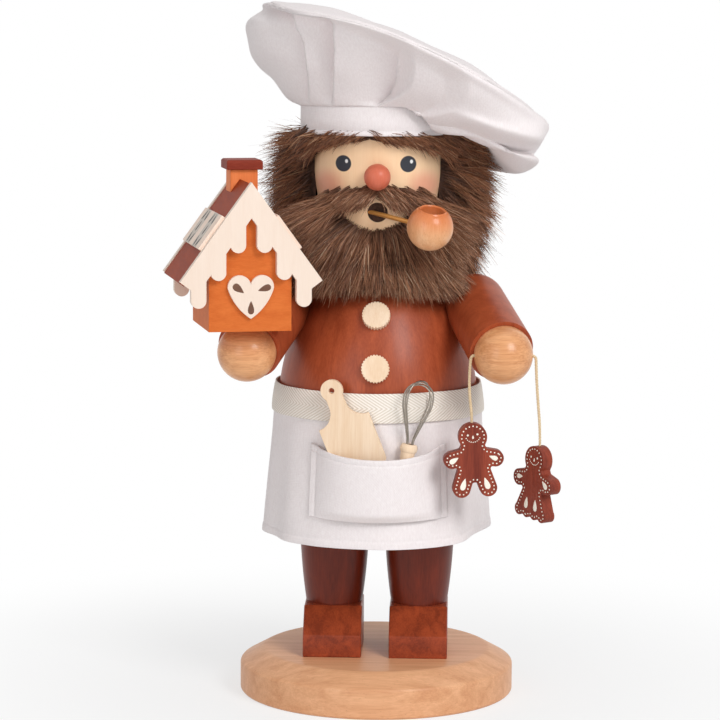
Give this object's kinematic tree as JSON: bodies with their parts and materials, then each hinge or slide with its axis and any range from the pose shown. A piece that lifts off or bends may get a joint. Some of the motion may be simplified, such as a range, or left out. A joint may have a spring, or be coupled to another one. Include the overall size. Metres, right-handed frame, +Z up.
{
  "type": "incense smoker figure",
  "caption": "Turned wooden smoking figure dressed as a baker; the upper body lifts off a dish for an incense cone, and smoke leaves by the open mouth beside the pipe",
  "frame": {"origin": "centre of the flat underside of the round foot, on the surface the figure stands on", "axes": "+Z up along the turned body's axis; the figure faces -Y, so its left hand is on +X"},
  "size_m": [0.1499, 0.1279, 0.2688],
  "materials": {
    "beech": "satin",
    "plain_wood": "matte",
    "shoe_wood": "gloss",
    "leg_wood": "gloss",
    "tin": "satin",
    "coat_wood": "gloss",
    "face_wood": "satin",
    "nose_wood": "gloss",
    "hand_wood": "gloss",
    "brass": "polished",
    "bowl_wood": "gloss",
    "cream_wood": "matte",
    "house_wood": "satin",
    "roof_wood": "satin",
    "icing": "matte",
    "white_cloth": "matte",
    "tape": "matte",
    "fur": "satin",
    "string": "matte",
    "gingerbread": "satin",
    "steel_wire": "polished"
  },
  "bodies": {
    "stand": {"base_plate": "beech", "right_shoe": "shoe_wood", "left_shoe": "shoe_wood", "right_leg": "leg_wood", "left_leg": "leg_wood", "shoe_dowels": "plain_wood", "hip_disc": "plain_wood", "cone_dish": "tin", "dish_nail": "tin"},
    "figure": {"shoulder_dowels": "plain_wood", "wrist_dowels": "plain_wood", "house_dowel": "plain_wood", "torso": "coat_wood", "right_arm": "coat_wood", "left_arm": "coat_wood", "head": "face_wood", "nose": "nose_wood", "right_hand": "hand_wood", "left_hand": "hand_wood", "pipe_stem": "brass", "pipe_bowl": "bowl_wood", "upper_button": "cream_wood", "lower_button": "cream_wood", "house_body": "house_wood", "chimney": "house_wood", "roof_board_left": "roof_wood", "roof_board_right": "roof_wood", "chimney_cap": "roof_wood", "roof_slab_left": "icing", "roof_slab_right": "icing", "front_icing_left": "icing", "front_icing_right": "icing", "rear_icing_left": "icing", "rear_icing_right": "icing", "heart_plate": "icing", "apron_skirt": "white_cloth", "apron_pocket": "white_cloth", "hat_band": "white_cloth", "hat_crown": "white_cloth", "waistband": "tape", "hair": "fur", "moustache": "fur", "beard": "fur", "hand_string": "string"},
    "board": {"cutting_board": "cream_wood"},
    "whisk": {"whisk_handle": "cream_wood", "whisk_wires": "steel_wire"},
    "man_string": {"man_string": "string"},
    "gingerbread_man": {"gingerbread_man": "gingerbread"},
    "woman_string": {"woman_string": "string"},
    "gingerbread_woman": {"gingerbread_woman": "gingerbread"}
  },
  "joints": [
    {"name": "figure_lift", "type": "slide", "parent": "stand", "child": "figure", "axis": [0, 0, 1], "range_m": [0, 0.08]},
    {"name": "board_slide", "type": "slide", "parent": "figure", "child": "board", "axis": [-0.371, 0.0521, 0.9272], "range_m": [0, 0.02]},
    {"name": "whisk_slide", "type": "slide", "parent": "figure", "child": "whisk", "axis": [0.183, 0.0539, 0.9816], "range_m": [0, 0.02]},
    {"name": "man_swing", "type": "hinge", "parent": "figure", "child": "man_string", "pos_m": [0.0357, -0.045, 0.1355], "axis": [-1, 0, 0], "range_deg": [-3, 35]},
    {"name": "man_twist", "type": "hinge", "parent": "man_string", "child": "gingerbread_man", "pos_m": [0.0362, -0.045, 0.109], "axis": [0, 0, 1], "range_deg": [-25, 25]},
    {"name": "woman_swing", "type": "hinge", "parent": "figure", "child": "woman_string", "pos_m": [0.0597, -0.045, 0.1355], "axis": [-1, 0, 0], "range_deg": [-3, 35]},
    {"name": "woman_twist", "type": "hinge", "parent": "woman_string", "child": "gingerbread_woman", "pos_m": [0.0616, -0.045, 0.1005], "axis": [0, 0, 1], "range_deg": [-40, 40]}
  ]
}
